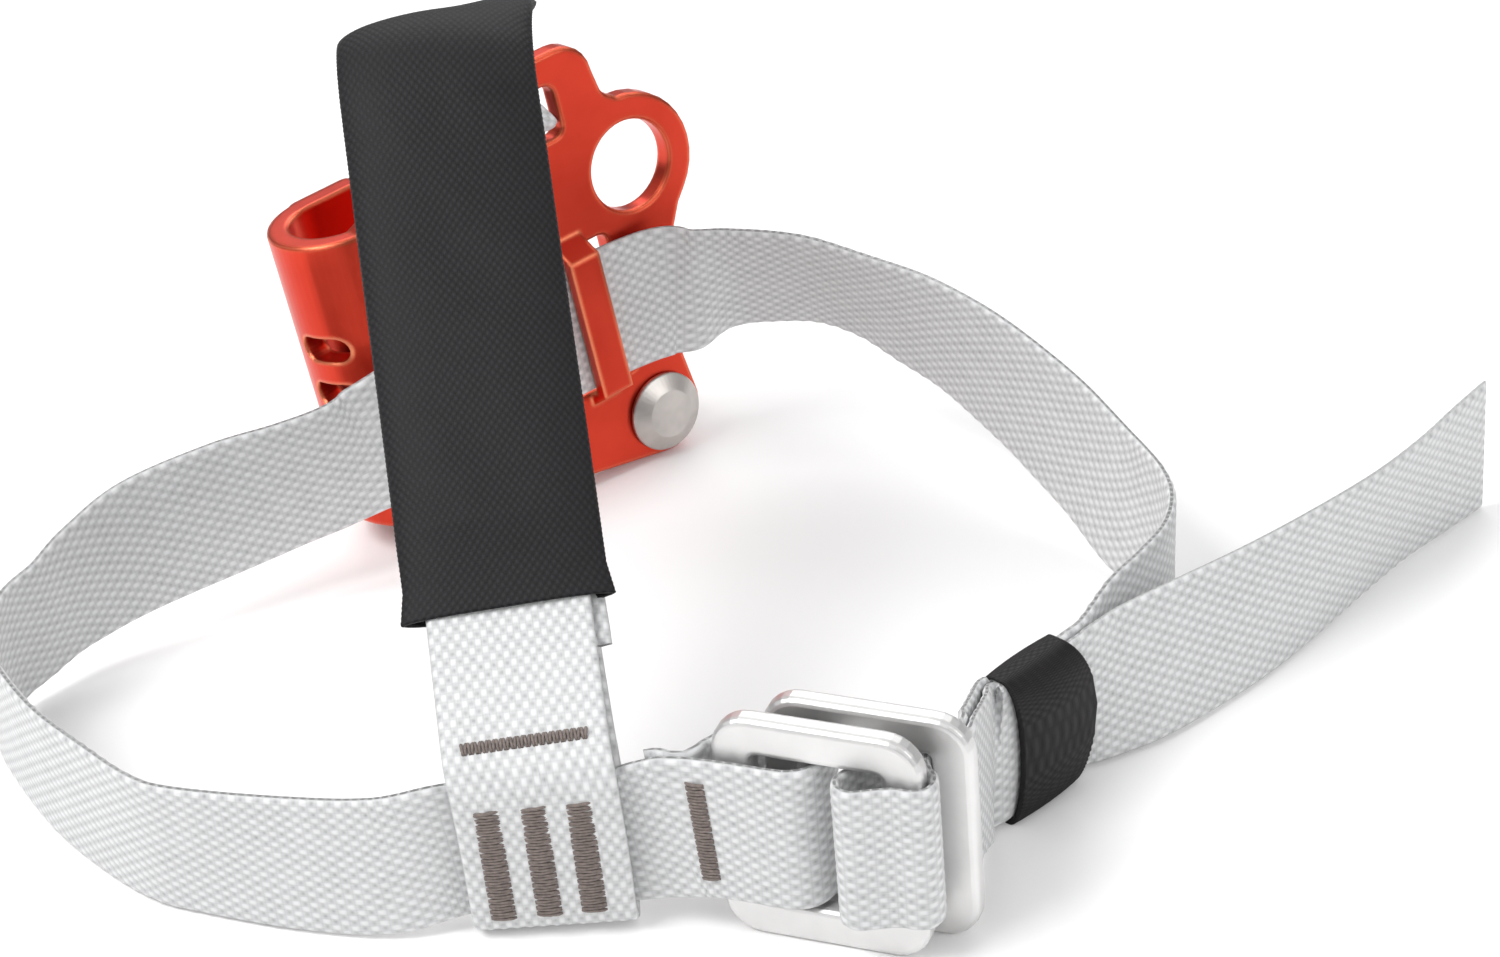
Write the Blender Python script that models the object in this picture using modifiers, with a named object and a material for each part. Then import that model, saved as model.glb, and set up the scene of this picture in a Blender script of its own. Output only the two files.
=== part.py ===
"""Strap-on foot ascender: bent-plate frame with a rope channel and cam, sole strap, ankle strap and buckle.

Lengths are millimetres until MM turns them into metres. The frame's own axes are X across the plate,
Y through it (away from the foot) and Z along the rope channel, with the cam's pivot at the origin.
"""
import math

import bmesh
import bpy
from mathutils import Euler, Matrix, Vector

MM = 0.001
NAME = "foot_ascender"

# ---- frame, in its own axes ----
PLATE = 4.0                       # thickness of the bent plate
CHANNEL_R = 8.0                   # inner radius of the rope channel
CHANNEL_X = -46.6                 # centre line of the channel's bend
CHANNEL_STEPS = 28
CHANNEL_TOP = 58.5
LIP_END = -30.0                   # free edge of the channel's far wall
PIVOT_CORNER_R = 8.6
BOTTOM_SLOPE = math.radians(-11.8)
EYE = (6.0, 47.1)
EYE_R = 8.25
EYE_LOBE_R = 13.1
TOP_LOBE = (-3.2, 67.2)
TOP_LOBE_R = 6.3
TOP_LEFT = (-38.5, 67.5)
SLOT = (-38.0, 58.3, -5.4, 68.0)  # sole-strap slot: low x, low z, high x, high z
WINDOW = (-16.4, 10.4, -2.4, 37.6)
BRIDGE_X = (-13.7, -7.6)          # the pressed-out bar across the window
BRIDGE_OUT = 2.5                  # gap from the plate's face to the bar's back
BRIDGE_T = 2.5
STOP = (-13.6, 45.0)              # cam stop pin
DRAIN_Z = (38.5, 29.5)
POSE = Euler((math.radians(-6.4), math.radians(-5.0), math.radians(35.7)), "XYZ")
PIVOT_AT = (-15.6, 69.5, 8.9)     # the pivot's place on the table, before the whole is centred
CENTRE = (1.653, -0.918, 0.0)

# ---- pivot and cam ----
PIVOT_R = 4.0
HEAD_R = 7.3
BUSH_R = 5.0
BUSH_Y = (5.3, 17.2)
FIT = 0.15                        # radial gap of the turned fits
CAM_Y = (7.6, 16.4)
CAM_HUB_R = 7.0
CAM_REACH = 59.0                  # from the pivot to the first tooth
CAM_FROM = math.radians(152.0)    # first and last tooth, at rest
CAM_TO = math.radians(178.0)
CAM_SPIRAL = math.tan(math.radians(28.0))
TEETH = 13
TOOTH = 0.9
TURNED = 48                       # sides of every turned piece

# ---- webbing ----
WEB_W = 25.0
WEB_T = 1.8
TOUCH = 0.3                       # gap kept between touching solids
LAYER = WEB_T + TOUCH             # centre to centre of two layers
SLOT_TIP = 5.0                    # slope of the slot, in degrees
SLEEVE_W = 31.0
SLEEVE_T = 6.4
SLEEVE_WALL = 0.7

# ---- buckle: u runs along a ring, v through it (away from the frame's front), from the front ring's middle ----
RING_W = 32.6
RING_H = 39.0
RING_BAR = 6.4
RING_T = 3.6
RING_EDGE = 1.1                   # radius of its rounded edges
RING_EDGE_STEPS = 3
RING_TURN = math.radians(-23.4)
RING_AT = (5.3, -77.4)
RING_STEP = (5.4, 6.8)            # the rear ring: along and behind the front one
LOOP_Z = 19.5
KEEPER_AT = (39.9, -46.0)
KEEPER_TURN = math.radians(43.0)
KEEPER_L = 14.5
KEEPER_BAND = 1.3
KEEPER_Z = 13.3

COLOURS = {
    "anodised_red": ((0.62, 0.05, 0.025, 1), 0.35, 1.0),
    "stainless": ((0.55, 0.53, 0.50, 1), 0.35, 1.0),
    "buckle_metal": ((0.78, 0.77, 0.75, 1), 0.3, 1.0),
    "spring_steel": ((0.35, 0.35, 0.36, 1), 0.35, 1.0),
    "bush_polymer": ((0.08, 0.08, 0.09, 1), 0.5, 0.0),
    "grey_webbing": ((0.62, 0.63, 0.64, 1), 0.8, 0.0),
    "black_sleeve": ((0.02, 0.02, 0.025, 1), 0.85, 0.0),
    "black_elastic": ((0.025, 0.023, 0.024, 1), 0.9, 0.0),
    "tack_thread": ((0.2, 0.17, 0.155, 1), 0.8, 0.0),
}


def clear_scene():
    for obj in list(bpy.data.objects):
        bpy.data.objects.remove(obj, do_unlink=True)


def make_collection(name):
    collection = bpy.data.collections.new(name)
    bpy.context.scene.collection.children.link(collection)
    return collection


def make_material(slot):
    colour, roughness, metallic = COLOURS[slot]
    material = bpy.data.materials.get(slot) or bpy.data.materials.new(slot)
    material.use_nodes = True
    shader = material.node_tree.nodes["Principled BSDF"]
    shader.inputs["Base Color"].default_value = colour
    shader.inputs["Roughness"].default_value = roughness
    shader.inputs["Metallic"].default_value = metallic
    material.diffuse_color = colour
    return material


# ---- outlines: lists of (u, v) points in millimetres ----

def arc(centre, radius, start, end, steps=10):
    """Points along an arc, in degrees, both ends included."""
    angles = [math.radians(start + (end - start) * i / steps) for i in range(steps + 1)]
    return [(centre[0] + radius * math.cos(a), centre[1] + radius * math.sin(a)) for a in angles]


def arc_through(first, middle, last, steps=8):
    """Points along the circle through three points, both ends included."""
    (ax, ay), (bx, by), (cx, cy) = first, middle, last
    d = 2 * (ax * (by - cy) + bx * (cy - ay) + cx * (ay - by))
    a2, b2, c2 = ax * ax + ay * ay, bx * bx + by * by, cx * cx + cy * cy
    ux = (a2 * (by - cy) + b2 * (cy - ay) + c2 * (ay - by)) / d
    uy = (a2 * (cx - bx) + b2 * (ax - cx) + c2 * (bx - ax)) / d
    start = math.degrees(math.atan2(ay - uy, ax - ux))
    end = math.degrees(math.atan2(cy - uy, cx - ux))
    if abs(end - start) > 180:
        end += 360 if end < start else -360
    return arc((ux, uy), math.hypot(ax - ux, ay - uy), start, end, steps)


def circle(centre, radius, steps=TURNED):
    return arc(centre, radius, 0, 360, steps)[:-1]


def rounded_rectangle(low_u, low_v, high_u, high_v, radius, steps=5):
    points = arc((high_u - radius, low_v + radius), radius, -90, 0, steps)
    points += arc((high_u - radius, high_v - radius), radius, 0, 90, steps)
    points += arc((low_u + radius, high_v - radius), radius, 90, 180, steps)
    return points + arc((low_u + radius, low_v + radius), radius, 180, 270, steps)


# ---- solids ----

def link(collection, name, data, slot, parent=None):
    obj = bpy.data.objects.new(name, data)
    collection.objects.link(obj)
    if slot:
        obj.data.materials.append(make_material(slot))
    if parent:
        obj.parent = parent
    return obj


def flat_curve(name, loops, thickness):
    """A filled 2D curve: the first loop is the outline, the others are holes. It lies on XY."""
    curve = bpy.data.curves.new(name, "CURVE")
    curve.dimensions = "2D"
    curve.fill_mode = "BOTH"
    curve.extrude = thickness / 2 * MM
    for loop in loops:
        spline = curve.splines.new("POLY")
        spline.points.add(len(loop) - 1)
        for point, (u, v) in zip(spline.points, loop):
            point.co = (u * MM, v * MM, 0, 1)
        spline.use_cyclic_u = True
    return curve


def mesh_from_curve(curve, matrix):
    """The curve's solid as a closed mesh, turned by matrix."""
    holder = bpy.data.objects.new(curve.name, curve)
    bpy.context.scene.collection.objects.link(holder)
    bpy.context.view_layer.update()
    graph = bpy.context.evaluated_depsgraph_get()
    mesh = bpy.data.meshes.new_from_object(holder.evaluated_get(graph))
    bpy.data.objects.remove(holder, do_unlink=True)
    shape = bmesh.new()
    shape.from_mesh(mesh)
    bmesh.ops.remove_doubles(shape, verts=shape.verts, dist=0.00001)
    bmesh.ops.transform(shape, matrix=matrix, verts=shape.verts)
    bmesh.ops.recalc_face_normals(shape, faces=shape.faces)
    shape.to_mesh(mesh)
    shape.free()
    mesh.materials.clear()
    return mesh


def side_prism(name, loops, low_y, high_y):
    """Loops of (x, z) points made into a solid between two Y planes."""
    stand_up = Matrix.Translation((0, (low_y + high_y) / 2 * MM, 0)) @ Matrix.Rotation(math.pi / 2, 4, "X")
    return mesh_from_curve(flat_curve(name, loops, high_y - low_y), stand_up)


def top_prism(name, loops, low_z, high_z):
    """Loops of (x, y) points made into a solid between two Z planes."""
    lift = Matrix.Translation((0, 0, (low_z + high_z) / 2 * MM))
    return mesh_from_curve(flat_curve(name, loops, high_z - low_z), lift)


def end_prism(name, loops, low_x, high_x):
    """Loops of (y, z) points made into a solid between two X planes."""
    turn = Matrix(((0, 0, 1, (low_x + high_x) / 2 * MM), (1, 0, 0, 0), (0, 1, 0, 0), (0, 0, 0, 1)))
    return mesh_from_curve(flat_curve(name, loops, high_x - low_x), turn)


def add_boolean(obj, other, operation):
    modifier = obj.modifiers.new(other.name, "BOOLEAN")
    modifier.operation = operation
    modifier.solver = "EXACT"
    modifier.object = other


def add_bevel(obj, width, segments=2, angle=35.0):
    modifier = obj.modifiers.new("round edges", "BEVEL")
    modifier.width = width * MM
    modifier.segments = segments
    modifier.limit_method = "ANGLE"
    modifier.angle_limit = math.radians(angle)
    modifier.use_clamp_overlap = False


def make_cutter(cutters, name, mesh, parent):
    obj = link(cutters, name, mesh, None, parent)
    obj.hide_render = True
    obj.display_type = "WIRE"
    return obj


def turned(collection, name, profile, slot, parent):
    """A profile of (radius, y) points turned about the parent's Y axis."""
    mesh = bpy.data.meshes.new(name)
    shape = bmesh.new()
    points = [shape.verts.new((radius * MM, y * MM, 0)) for radius, y in reversed(profile)]
    for first, second in zip(points, points[1:]):
        shape.edges.new((first, second))
    shape.to_mesh(mesh)
    shape.free()
    obj = link(collection, name, mesh, slot, parent)
    screw = obj.modifiers.new("turn", "SCREW")
    screw.axis = "Y"
    screw.steps = TURNED
    screw.render_steps = TURNED
    screw.use_merge_vertices = True
    screw.merge_threshold = 0.00001
    screw.use_normal_calculate = False
    screw.use_normal_flip = False
    return obj


def ring_profile(inner, outer, low_y, high_y):
    return [(inner, low_y), (outer, low_y), (outer, high_y), (inner, high_y), (inner, low_y)]


# ---- the bent-plate frame ----

def bottom_z(x):
    """Height of the straight bottom edge, which is tangent to the corner round the pivot."""
    touch_x = PIVOT_CORNER_R * math.sin(BOTTOM_SLOPE)
    touch_z = -PIVOT_CORNER_R * math.cos(BOTTOM_SLOPE)
    return touch_z + (x - touch_x) * math.tan(BOTTOM_SLOPE)


def frame_outline():
    left = CHANNEL_X - CHANNEL_R - PLATE - 2
    slope = math.degrees(BOTTOM_SLOPE)
    points = [(left, bottom_z(left))]
    points += arc((0, 0), PIVOT_CORNER_R - 0.4, slope - 90, 12, 10)
    points += arc_through((7.2, 8.0), (8.2, 22.0), (13.9, 36.2), 7)
    points += arc(EYE, EYE_LOBE_R, -42, 88, 12)
    points += arc((6.9, 63.9), 3.2, 250, 186, 4)
    points += arc(TOP_LOBE, TOP_LOBE_R, 0, 90, 6)
    points += arc(TOP_LEFT, TOP_LOBE[1] + TOP_LOBE_R - TOP_LEFT[1], 90, 170, 6)
    return points + [(-45.2, 62.5), (-46.6, 59.8), (-49.0, CHANNEL_TOP), (left, CHANNEL_TOP)]


def channel_section():
    """The J-shaped section of plate, channel bend and lip, as (x, y) points."""
    centre = (CHANNEL_X, PLATE + CHANNEL_R)
    outer = CHANNEL_R + PLATE
    far = centre[1] + outer
    right = EYE[0] + EYE_LOBE_R + 2
    points = [(right, 0), (right, PLATE)]
    points += arc(centre, CHANNEL_R, 270, 90, CHANNEL_STEPS)
    points += arc((LIP_END - PLATE / 2, far - PLATE / 2), PLATE / 2, -90, 90, 6)
    return points + arc(centre, outer, 90, 270, CHANNEL_STEPS)


def bridge_section():
    """Side view of the pressed-out bar, as (y, z) points."""
    low, high = WINDOW[1], WINDOW[3]
    back, front = -BRIDGE_OUT, -BRIDGE_OUT - BRIDGE_T
    rise = 2.6
    return [(0.8, low - 3.4), (0.8, low - 1.0), (back, low + 0.5), (back, high - 0.5), (0.8, high + 1.0),
            (0.8, high + 3.4), (0, high + rise), (front, high - 0.2), (front, low + 0.2), (0, low - rise)]


def make_frame(parts, cutters, parent):
    holes = [circle(EYE, EYE_R), circle((0, 0), PIVOT_R + FIT), circle(STOP, 1.5 + FIT, 20),
             rounded_rectangle(*SLOT, 2.0), rounded_rectangle(*WINDOW, 1.5, 3)]
    far = 2 * (PLATE + CHANNEL_R)
    outline = make_cutter(cutters, "frame_outline", side_prism("frame_outline", [frame_outline()] + holes, -2,
                                                              far + 2), parent)
    section = top_prism("frame", [channel_section()], -16, 80)
    frame = link(parts, "frame", section, "anodised_red", parent)
    add_boolean(frame, outline, "INTERSECT")
    add_bevel(frame, 0.55)
    above = top_prism("above_lip", [[(-70, PLATE + 1), (-15, PLATE + 1), (-15, far + 4), (-70, far + 4)]],
                      CHANNEL_TOP, 90)
    add_boolean(frame, make_cutter(cutters, "above_lip", above, parent), "DIFFERENCE")
    bar = make_cutter(cutters, "bridge", end_prism("bridge", [bridge_section()], *BRIDGE_X), parent)
    add_boolean(frame, bar, "UNION")
    for i, z in enumerate(DRAIN_Z):
        oval = rounded_rectangle(3.4, z - 2.4, 12.8, z + 2.4, 2.3)
        mesh = end_prism("drain", [oval], CHANNEL_X - 16, CHANNEL_X - 3)
        add_boolean(frame, make_cutter(cutters, f"drain_{i + 1}", mesh, parent), "DIFFERENCE")
    return frame


# ---- pivot, cam and their small parts ----

def make_pivot(parts, parent):
    tail = BUSH_Y[1] + FIT
    profile = [(0, -2.6), (4.4, -2.6), (4.6, -2.5), (HEAD_R - 0.2, -1.15), (HEAD_R, -0.9), (HEAD_R, -0.35),
               (HEAD_R - 0.2, -FIT), (PIVOT_R, -FIT), (PIVOT_R, tail + 1.0), (5.8, tail + 1.0),
               (5.8, tail + 1.8), (5.0, tail + 2.6), (0, tail + 2.6)]
    turned(parts, "pivot_rivet", profile, "stainless", parent)
    turned(parts, "plate_washer", ring_profile(PIVOT_R + FIT, 7.2, PLATE + FIT, PLATE + 0.95), "stainless", parent)
    turned(parts, "tail_washer", ring_profile(PIVOT_R + FIT, 6.8, tail, tail + 0.85), "stainless", parent)
    turned(parts, "pivot_bush", ring_profile(PIVOT_R + FIT, BUSH_R, *BUSH_Y), "bush_polymer", parent)


def make_stop_pin(parts, parent):
    holder = bpy.data.objects.new("stop_axis", None)
    parts.objects.link(holder)
    holder.parent = parent
    holder.location = (STOP[0] * MM, 0, STOP[1] * MM)
    profile = [(0, -1.0), (1.3, -0.9), (1.9, -0.45), (1.9, -FIT), (1.5, -FIT), (1.5, PLATE + FIT),
               (2.6, PLATE + FIT), (2.6, 12.4), (2.2, 12.8), (0, 12.8)]
    turned(parts, "stop_pin", profile, "stainless", holder)


def cam_outline():
    """Hub, arm and toothed spiral nose. The teeth run round the nose from its tip to its heel."""
    points = []
    steps = 2 * TEETH
    for i in range(steps + 1):
        angle = CAM_FROM + (CAM_TO - CAM_FROM) * i / steps
        radius = CAM_REACH * math.exp(-CAM_SPIRAL * (angle - CAM_FROM)) + TOOTH * (i % 2)
        points.append((radius * math.cos(angle), radius * math.sin(angle)))
    points += [(-40.0, 3.0), (-26.0, 0.8), (-14.0, -2.6)]
    points += arc((0, 0), CAM_HUB_R, 218, 450, 20)
    return points + [(-9.0, 11.5), (-24.0, 18.5), (-38.0, 27.5), (-47.5, 30.8)]


def make_cam(parts, cutters, parent):
    mud_slot = rounded_rectangle(-2.6, -8.0, 2.6, 8.0, 2.5)
    tilt = math.radians(15)
    at = (-40.5, 15.0)
    placed = [(at[0] + u * math.cos(tilt) - v * math.sin(tilt), at[1] + u * math.sin(tilt) + v * math.cos(tilt))
              for u, v in mud_slot]
    lightening = circle((-23.0, 8.2), 4.2, 24)
    loops = [cam_outline(), circle((0, 0), BUSH_R + FIT), placed, lightening]
    cam = link(parts, "cam", side_prism("cam", loops, *CAM_Y), "stainless", parent)
    pin = make_cutter(cutters, "cam_thumb_stud", side_prism("cam_thumb_stud", [circle((-12.5, 5.8), 2.8, 24)],
                                                            CAM_Y[1] - 1, CAM_Y[1] + 8), parent)
    add_boolean(cam, pin, "UNION")


def make_spring(parts, parent):
    """Torsion spring round the bush, from a leg on the plate washer's side to a leg behind the cam's arm."""
    wire, radius, turns = 0.8, 6.3, 2.0
    curve = bpy.data.curves.new("cam_spring", "CURVE")
    curve.dimensions = "3D"
    curve.bevel_depth = wire / 2 * MM
    curve.bevel_resolution = 2
    curve.use_fill_caps = True
    steps = 36
    low, high = PLATE + 1.5, CAM_Y[0] - 0.65
    route = []
    for i in range(steps + 1):
        angle = math.radians(150) + 2 * math.pi * turns * i / steps
        y = low + (high - low) * i / steps
        route.append((radius * math.cos(angle), y, radius * math.sin(angle)))
    route.insert(0, (route[0][0] - 2.5, low, route[0][2] - 5.0))
    route.append((route[-1][0] - 6.0, high, route[-1][2] - 1.2))
    spline = curve.splines.new("POLY")
    spline.points.add(len(route) - 1)
    for point, place in zip(spline.points, route):
        point.co = (*(c * MM for c in place), 1)
    link(parts, "cam_spring", curve, "spring_steel", parent)


# ---- webbing: an open strip given thickness ----

def smooth_route(stations, step):
    """A smooth line through the stations, resampled every step millimetres. Each is (x, y, z, more...)."""
    points = [Vector(s) for s in stations]
    points = [2 * points[0] - points[1]] + points + [2 * points[-1] - points[-2]]
    dense = []
    for a, b, c, d in zip(points, points[1:], points[2:], points[3:]):
        for i in range(24):
            t = i / 24
            dense.append(0.5 * (2 * b + (c - a) * t + (2 * a - 5 * b + 4 * c - d) * t ** 2
                                + (3 * b - a - 3 * c + d) * t ** 3))
    dense.append(points[-2])
    reach = [0.0]
    for a, b in zip(dense, dense[1:]):
        reach.append(reach[-1] + (Vector(b[:3]) - Vector(a[:3])).length)
    count = max(2, round(reach[-1] / step))
    route = []
    k = 0
    for i in range(count + 1):
        wanted = reach[-1] * i / count
        while k < len(reach) - 2 and reach[k + 1] < wanted:
            k += 1
        t = (wanted - reach[k]) / max(reach[k + 1] - reach[k], 1e-9)
        route.append(dense[k].lerp(dense[k + 1], t))
    return route


def tangent(route, i):
    before = Vector(route[max(i - 1, 0)][:3])
    after = Vector(route[min(i + 1, len(route) - 1)][:3])
    return (after - before).normalized()


def standing(route, i):
    """Across direction of webbing that stands on its edge and leans to its right by the fourth value."""
    along = tangent(route, i)
    up = Vector((0, 0, 1))
    up = (up - along * along.z).normalized()
    lean = math.radians(route[i][3])
    return up * math.cos(lean) + along.cross(up) * math.sin(lean)


def lying(route, i):
    """Across direction of webbing that lies flat. The fourth and fifth values turn and tip it, in degrees.

    Webbing that is fully tipped is skewed, as it is where a slot holds its edges.
    """
    along = tangent(route, i)
    turn = math.radians(route[i][3])
    tip = math.radians(route[i][4])
    side = Vector((math.cos(turn) * math.cos(tip), math.sin(turn) * math.cos(tip), math.sin(tip)))
    square = 1 - min(1.0, route[i][4] / SLOT_TIP)
    return (side - along * along.dot(side) * square).normalized()


def all_across(route, across):
    return [across(route, i) for i in range(len(route))]


def strip(parts, name, centres, wide, slot="grey_webbing", width=WEB_W, thickness=WEB_T):
    """Webbing along centres, with its width along the directions in wide."""
    mesh = bpy.data.meshes.new(name)
    shape = bmesh.new()
    rails = []
    for centre, direction in zip(centres, wide):
        half = direction * width / 2
        rails.append([shape.verts.new((centre + half * k) * MM) for k in (-1, 1)])
    for (a, b), (c, d) in zip(rails, rails[1:]):
        shape.faces.new((a, c, d, b))
    shape.to_mesh(mesh)
    shape.free()
    obj = link(parts, name, mesh, slot)
    thicken = obj.modifiers.new("thickness", "SOLIDIFY")
    thicken.thickness = thickness * MM
    thicken.offset = 0
    return obj


def cut_strips(parts, names, route, across, cuts, thickness=WEB_T):
    """One length of webbing as several solids, split after the named counts of stations with a small gap."""
    wide = all_across(route, across)
    first = 0
    for name, last in zip(names, list(cuts) + [len(route) - 1]):
        centres = [Vector(s[:3]) for s in route[first:last + 1]]
        if first:
            centres[0] += tangent(route, first) * (TOUCH + 0.1)
        strip(parts, name, centres, wide[first:last + 1], thickness=thickness)
        first = last


def on_plate(x, y, z, lean):
    """A point in the frame's axes, as a station in the object's axes."""
    place = Vector(PIVOT_AT) + POSE.to_matrix() @ Vector((x, y, z))
    return (*place, lean)


def at_buckle(u, v, z, lean):
    along = Vector((math.cos(RING_TURN), math.sin(RING_TURN)))
    back = Vector((-along.y, along.x))
    place = Vector(RING_AT) + along * u + back * v
    return (place.x, place.y, z, lean)


def at_keeper(u, v, z, lean):
    along = Vector((math.cos(KEEPER_TURN), math.sin(KEEPER_TURN)))
    back = Vector((-along.y, along.x))
    place = Vector(KEEPER_AT) + along * u + back * v
    return (place.x, place.y, z, lean)


def nearest(route, x, y):
    """Index of the station nearest to a place on the table."""
    return min(range(len(route)), key=lambda i: (route[i][0] - x) ** 2 + (route[i][1] - y) ** 2)


def ankle_route():
    """From the rings' sewn loop round the ankle's left, over the frame's front and round to the keeper."""
    stations = [at_buckle(-24.0, -1.1, LOOP_Z - 1.3, 0), at_buckle(-19.6, -1.0, LOOP_Z - 0.1, 0),
                at_buckle(-18.4, 1.5, LOOP_Z, 0), at_buckle(-14.4, 7.4, LOOP_Z, 0), at_buckle(-10.5, 9.7, LOOP_Z, 0),
                at_buckle(-7.0, 10.2, LOOP_Z, 0), at_buckle(-3.6, 9.8, LOOP_Z, 0), at_buckle(-1.0, 7.5, LOOP_Z, 0),
                at_buckle(0.2, 3.4, LOOP_Z, 0), at_buckle(-0.9, -0.6, LOOP_Z, 0), at_buckle(-3.4, -2.7, LOOP_Z, 0),
                at_buckle(-7.0, -3.15, LOOP_Z, 0), at_buckle(-13.5, -3.2, LOOP_Z, 0),
                at_buckle(-19.5, -3.2, LOOP_Z - 0.4, 0), at_buckle(-24.0, -3.3, LOOP_Z - 1.5, 0)]
    stations += [(-24.5, -69.6, 16.6, -3), (-36.0, -68.5, 15.6, -3), (-49.0, -67.8, 15.4, -3),
                 (-61.0, -68.0, 13.6, 0), (-75.4, -64.2, 12.9, -1), (-91.4, -58.3, 12.8, -5),
                 (-98.0, -54.4, 12.8, -4), (-105.4, -46.7, 12.8, -2), (-115.5, -33.8, 12.8, -2),
                 (-123.5, -19.0, 12.8, -1), (-127.0, -8.4, 13.2, 3), (-125.0, 0.0, 14.4, 8), (-119.7, 6.1, 16.0, 9),
                 (-113.7, 12.2, 18.1, 4), (-104.3, 19.4, 20.3, -4), (-90.6, 25.5, 22.3, -4), (-79.9, 29.0, 23.7, 2),
                 (-72.7, 31.4, 24.7, 3), (-67.0, 34.2, 25.7, 0)]
    stations += [on_plate(-55.0, -2.2, 23.2, -5), on_plate(-46.0, -1.35, 23.8, -6), on_plate(-34.0, -1.25, 24.3, -6),
                 on_plate(-10.6, -1.25, 24.0, -6), on_plate(0.0, -1.6, 23.4, -6), on_plate(5.5, -3.1, 22.9, -4)]
    return stations + [(-8.0, 71.3, 32.1, 3), (-1.4, 73.6, 32.6, 18), (6.1, 72.6, 32.7, 22), (13.5, 70.6, 32.3, 24),
                       (20.6, 67.1, 30.8, 22), (27.6, 62.1, 28.8, 15), (34.8, 56.1, 26.8, 9), (42.0, 48.3, 24.0, 2),
                       (49.1, 39.2, 20.5, -3), (55.8, 29.2, 16.5, -8), (61.2, 17.5, 13.4, -12),
                       (65.2, 8.0, 12.9, -8), (66.8, -1.0, 12.9, -3), (65.0, -10.0, 13.0, 0),
                       (59.6, -19.0, 13.6, 0), (54.2, -26.5, 14.0, 0), at_keeper(13.5, 1.6, KEEPER_Z, 0),
                       at_keeper(9.0, 1.1, KEEPER_Z, 0)]


def buckle_route():
    """From the keeper behind both rings, out through them, round the front ring's bar and back to the keeper."""
    mid = LOOP_Z
    low = KEEPER_Z
    return [at_keeper(8.3, 1.1, low, 0), at_keeper(5.0, 1.05, low, 0), at_keeper(0.0, 1.05, low, 0),
            at_keeper(-9.4, 1.05, low + 0.2, 0), at_keeper(-12.0, 1.0, low + 0.8, 0), at_buckle(14.3, 26.0, 15.8, 0),
            at_buckle(15.3, 19.0, 17.8, 0), at_buckle(15.8, 14.9, 19.2, 0), at_buckle(14.7, 12.5, mid, 0),
            at_buckle(12.8, 10.6, mid, 0), at_buckle(10.2, 7.3, mid, 0), at_buckle(7.4, 3.5, mid, 0),
            at_buckle(4.8, 0.6, mid, 0), at_buckle(3.5, -2.0, mid, 0), at_buckle(4.1, -4.4, mid, 0),
            at_buckle(6.4, -5.3, mid, 0), at_buckle(9.5, -4.0, mid, 0), at_buckle(12.2, -2.95, mid, 0),
            at_buckle(14.6, -2.85, mid, 0), at_buckle(16.7, -2.0, mid, 0), at_buckle(17.45, 0.1, mid, 0),
            at_buckle(16.9, 2.0, mid, 0), at_buckle(15.8, 3.3, mid, 0), at_buckle(14.8, 4.6, mid, 0),
            at_buckle(14.2, 6.75, mid, 0), at_buckle(14.9, 8.9, mid, 0), at_buckle(16.6, 10.5, mid, 0),
            at_buckle(17.9, 13.0, 19.4, 0), at_buckle(17.4, 19.0, 17.8, 0), at_buckle(16.5, 26.0, 15.8, 0),
            at_keeper(-12.0, -1.1, low + 0.6, 0), at_keeper(-9.4, -1.05, low + 0.2, 0),
            at_keeper(0.0, -1.05, low, 0), at_keeper(9.0, -1.05, low, 0),
            at_keeper(11.5, -1.2, low, -2), (54.0, -35.7, 13.0, -8), (61.4, -31.2, 13.0, -11),
            (76.4, -20.4, 12.8, -6), (88.2, -10.4, 12.8, 0), (99.8, 0.7, 12.8, 6), (109.4, 10.7, 12.8, 7),
            (117.6, 19.1, 12.8, 3), (124.8, 26.4, 12.8, 0)]


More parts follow.
